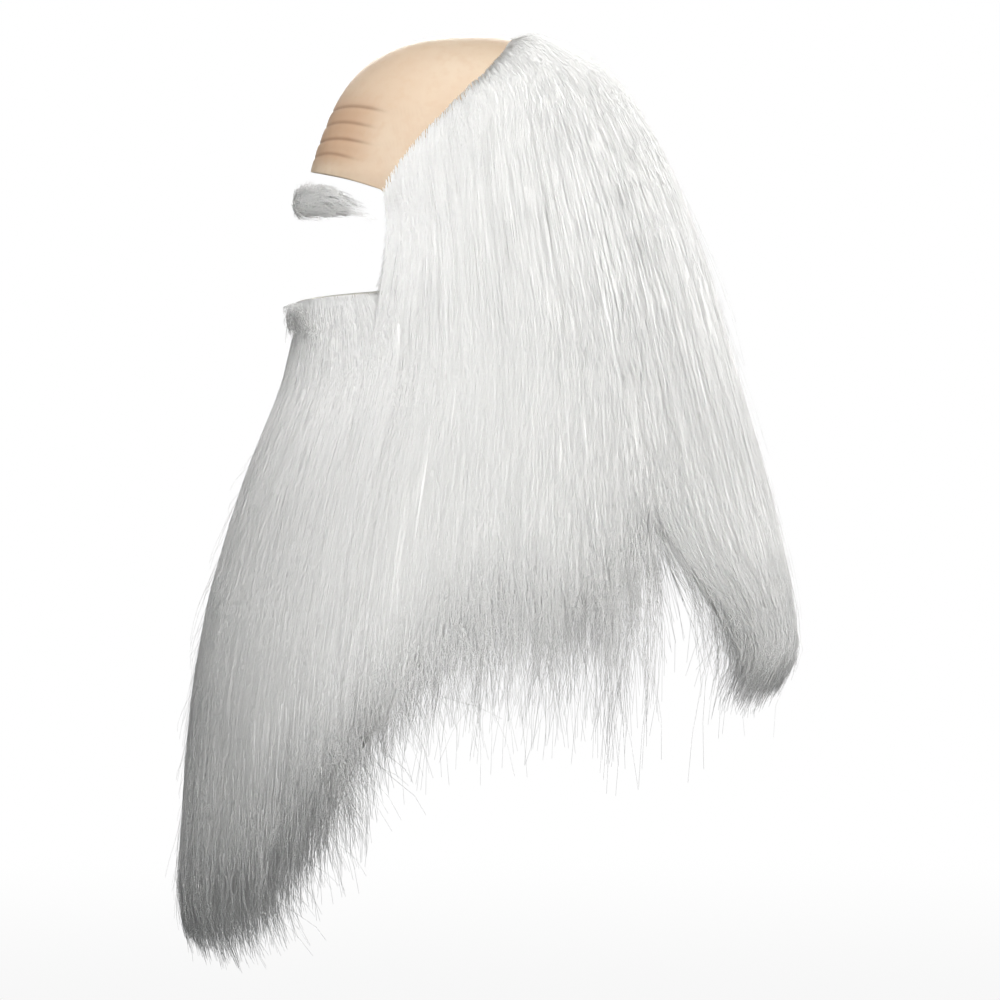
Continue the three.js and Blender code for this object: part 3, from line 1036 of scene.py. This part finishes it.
# %% [markdown]
# ## Moustache
#
# The moustache is a short tuft in front of the beard's top. It is parted in the middle: its
# strands bulge forward and sweep outward and down over the beard. They sit on the same surface as
# the beard's strands, a little further out, so the tuft follows the beard's curve.

# %% Moustache strands
MOUSTACHE_TOP = -171.6
MOUSTACHE_SWEEP = 8


def moustache_strands(name, count):
    along = np.linspace(0, 1, 7)
    deg = chance(count, -21, 21)
    z = MOUSTACHE_TOP - chance(count, 0, 1) ** 2 * 7 - chance(count, 5, 19) * along
    bulge = chance(count, 0, 5) * np.sin(np.pi * chance(count, 0.25, 0.9) * along)
    proud = mix(0, 0.4 + chance(count, 0, 1.6), ease(along, 0, 0.4)) + bulge
    stray = rng.normal(0, 2, (count, 1)) * along**2
    turn = deg + stray + np.sign(deg) * MOUSTACHE_SWEEP * along**1.3
    seat = on_face(turn, z, BACKING_THICKNESS + 2.6 + proud)
    paths = fall(turn, z, -proud, beard_root(turn), seat, BEARD_SWELL[0], BEARD_CROWDING)
    strand_piece(name, "moustache", paths, LOOSE_END, sideways(deg))


moustache_strands("moustache_tuft", 420)

# %% [markdown]
# ## Brows
#
# Each brow is a thick soft roll that thins to a wispy tail at its outer end. A table gives its
# line and its size along the way. A narrow core keeps it opaque, and the strands are combed along
# it outwards.

# %% The line of a brow
BROW = table(
    "along x y z height depth",
    [
        (0, 7, -113, -108.5, 0, 0),
        (0.06, 9, -114, -108, 6.5, 4.4),
        (0.2, 17, -114.5, -106.5, 9.5, 6),
        (0.4, 31, -109, -105.5, 10, 5.8),
        (0.6, 46, -97, -106, 9.2, 4.8),
        (0.7, 52.5, -89, -107.5, 6.6, 3.6),
        (0.8, 58.5, -80, -110, 4.2, 2.4),
        (0.97, 66, -61.6, -116, 2.2, 0.9),
        (1, 66.6, -59.5, -116.5, 0, 0),
    ],
)


def brow_line(along):
    return np.stack([read(BROW, "along", column, along) for column in ("x", "y", "z")], -1)


def brow_at(along, turn, fill):
    ahead = brow_line(np.minimum(along + 0.02, 1)) - brow_line(np.maximum(along - 0.02, 0))
    out = np.cross([0.0, 0.0, 1.0], ahead)
    out /= np.linalg.norm(out, axis=-1, keepdims=True)
    height = read(BROW, "along", "height", along) * np.cos(turn) * fill
    depth = read(BROW, "along", "depth", along) * np.sin(turn) * fill
    spot = brow_line(along) + out * depth[..., None]
    spot[..., 2] += height
    return spot


brow_span = np.linalg.norm(brow_line(1.0) - brow_line(0.0))
print("a brow is", round(float(brow_span)), "mm from end to end")

# %% Brow core and strands
BROW_GRID = (24, 40)
CORE_FILL = 0.64


def brow_core(name, node, side):
    bm = bmesh.new()

    def place(u, v):
        fill = CORE_FILL * ease(v, 0, 0.12) * ease(v, 1, 0.5)
        return brow_at(mix(0.01, 0.68, v), 2 * np.pi * u, fill) * [side, 1, 1]

    flat = bent(bm, *BROW_GRID, place)[1]
    map_flat(bm, "Flow", flat[:, ::-1] * [0.2, 0.2])
    bmesh.ops.remove_doubles(bm, verts=bm.verts, dist=TOUCHING)
    bmesh.ops.recalc_face_normals(bm, faces=bm.faces)
    finished(bm, name, node, "white_hair", body_hair)


def brow_strands(name, node, side, count):
    share = np.linspace(0, 1, 6)
    start = chance(count, 0, 1) * mix(0.6, 0.78, chance(count, 0, 1) ** 6)
    along = np.clip(start + chance(count, 0.1, 0.26) * share, 0.012, 0.995)
    turn = chance(count, 0, 2 * np.pi) + sway(count, share, 0.6, 0.5)
    fill = mix(chance(count, 0.6, 0.85), chance(count, 0.8, 1.22), ease(share, 0, 1))
    stray = rng.normal(0, 0.9, (count, 1, 3)) * share[:, None] ** 2
    paths = (brow_at(along, turn, fill) + stray) * [side, 1, 1]
    across = np.tile([0.0, 0.0, 1.0], (count, 1))
    strand_piece(name, node, paths, STRAND, across)


for side, word in ((1, "left"), (-1, "right")):
    brow_core(f"brow_core_{word}", f"eyebrow_{word}", side)
    brow_strands(f"brow_{word}", f"eyebrow_{word}", side, 640)

# %% [markdown]
# ## Floor and sky
#
# The wig hangs over a pale floor that curves up far away, like the paper sweep of a photo studio,
# so no horizon shows. It could be lit by lamps, but lamps that make paper white burn out white
# hair. So it glows by itself, with a painted shadow that greys it a little below the wig, and
# throws no light on it. The sky lights the shaded sides weakly. Light bounces many times in white
# hair, and three bounces are enough to keep it white.

# %% Floor
FLOOR_Z = -660
FLOOR_GRID = (96, 40)
FLOOR_SEAM = 1e-4
FLOOR_PAINTED_SHADOW = (0.92, 0.92, 0.92, 1)
BLACK = (0, 0, 0, 1)
WHITE = (1, 1, 1, 1)
SWEEP = table(
    "share reach rise",
    [(0, 0, 0), (0.5, 5500, 0), (0.7, 8000, 300), (0.85, 9400, 2500), (1, 10000, 7000)],
)


def sweep_place(u, v):
    turn = 2 * np.pi * u
    reach = read(SWEEP, "share", "reach", v)
    z = FLOOR_Z + read(SWEEP, "share", "rise", v)
    return np.stack([reach * np.cos(turn), reach * np.sin(turn), z], -1)


def make_paper():
    material, surface, start = new_material("pale_floor", 0.9, 0.0)
    surface["Base Color"].default_value = BLACK
    surface["Emission Strength"].default_value = 1.0
    place = start.to("TexCoord", {}, {}, "Object")
    far = start.to("VectorMath", {"operation": "LENGTH"}, {0: place}, "Value")
    # Painted shadow: the glow is a little greyer near the middle, below the wig.
    far.between(0.2, 2.5).blend(FLOOR_PAINTED_SHADOW, WHITE).into(surface["Emission Color"])
    return material


def make_floor(paper):
    bm = bmesh.new()
    bent(bm, *FLOOR_GRID, sweep_place)
    bmesh.ops.remove_doubles(bm, verts=bm.verts, dist=FLOOR_SEAM)
    bmesh.ops.recalc_face_normals(bm, faces=bm.faces)
    bmesh.ops.reverse_faces(bm, faces=bm.faces)
    mesh = bpy.data.meshes.new("floor")
    bm.to_mesh(mesh)
    bm.free()
    mesh.materials.append(paper)
    floor = bpy.data.objects.new("floor", mesh)
    bpy.context.scene.collection.objects.link(floor)
    floor.visible_diffuse = False
    floor.visible_glossy = False
    floor.visible_shadow = False


make_floor(make_paper())
print("floor at", FLOOR_Z)

# %% Sky
ROOM_LIGHT = (0.16, 0.163, 0.167, 1)


def make_sky():
    world = bpy.data.worlds.new("studio")
    world.use_nodes = True
    seen = Wire(world.node_tree).to("LightPath", {}, {}, "Is Camera Ray")
    seen.blend(ROOM_LIGHT, WHITE).into(world.node_tree.nodes["Background"].inputs["Color"])
    return world


bpy.context.scene.world = make_sky()
bpy.context.scene.cycles.diffuse_bounces = 3
bpy.context.scene.cycles.glossy_bounces = 1
print("sky:", bpy.context.scene.world.name)

# %% [markdown]
# ## Lights
#
# White hair burns out easily under one strong lamp, so six weak ones share the work. A large soft
# key and a lamp on the camera's side light the left. A narrow one picks out the brow, one stands
# behind, and one hangs above the cap. The last lights the far side, which the camera doesn't see,
# for views from there.


# %% Lamps
def soft_light(name, place, aim, size, power, spread):
    light = bpy.data.lights.new(name, "AREA")
    light.size = size
    light.energy = power
    light.spread = np.radians(spread)
    lamp = bpy.data.objects.new(name, light)
    lamp.location = place
    lamp.rotation_euler = (Vector(aim) - Vector(place)).to_track_quat("-Z", "Y").to_euler()
    bpy.context.scene.collection.objects.link(lamp)
    print(name, "watts:", power)


soft_light("key", (1.7, 0.35, 0.4), (0, 0.08, -0.32), 0.8, 1.9, 38)
soft_light("camera_side", (2.2, 0.0, 0.2), (0, 0.06, -0.25), 0.8, 0.6, 40)
soft_light("brow", (1.2, -1.6, 0.4), (0, -0.09, -0.07), 0.25, 0.075, 9)
soft_light("back", (0.9, 1.6, 0.6), (0, 0.05, -0.2), 1.0, 1.0, 100)
soft_light("top", (0.5, 0.0, 1.5), (0, 0.02, -0.1), 1.0, 2.6, 80)
soft_light("far_side", (-1.8, -0.1, 0.4), (0, 0.02, -0.28), 0.8, 2.2, 44)

# %% [markdown]
# ## Camera
#
# The camera stands far away with a long lens, so near and far strands keep their size. It stands
# on the left, a little lower than the brows, and is aimed slightly down at the middle of the wig.

# %% Camera
SENSOR = 36
CAMERA_DISTANCE = 6.0
CAMERA_HEIGHT = -0.13
FRAME_WIDTH = 0.65
FRAME_CENTRE = (0.0, 0.0143, -0.29965)
camera_data = bpy.data.cameras.new("camera")
camera_data.sensor_width = SENSOR
camera_data.lens = SENSOR * CAMERA_DISTANCE / FRAME_WIDTH
camera = bpy.data.objects.new("camera", camera_data)
camera.location = (CAMERA_DISTANCE, FRAME_CENTRE[1], CAMERA_HEIGHT)
aim = Vector(FRAME_CENTRE) - camera.location
camera.rotation_euler = aim.to_track_quat("-Z", "Y").to_euler()
bpy.context.scene.collection.objects.link(camera)
bpy.context.scene.camera = camera
bpy.context.scene.view_settings.view_transform = "Standard"
print("lens:", round(camera_data.lens), "mm")

# %% Finish
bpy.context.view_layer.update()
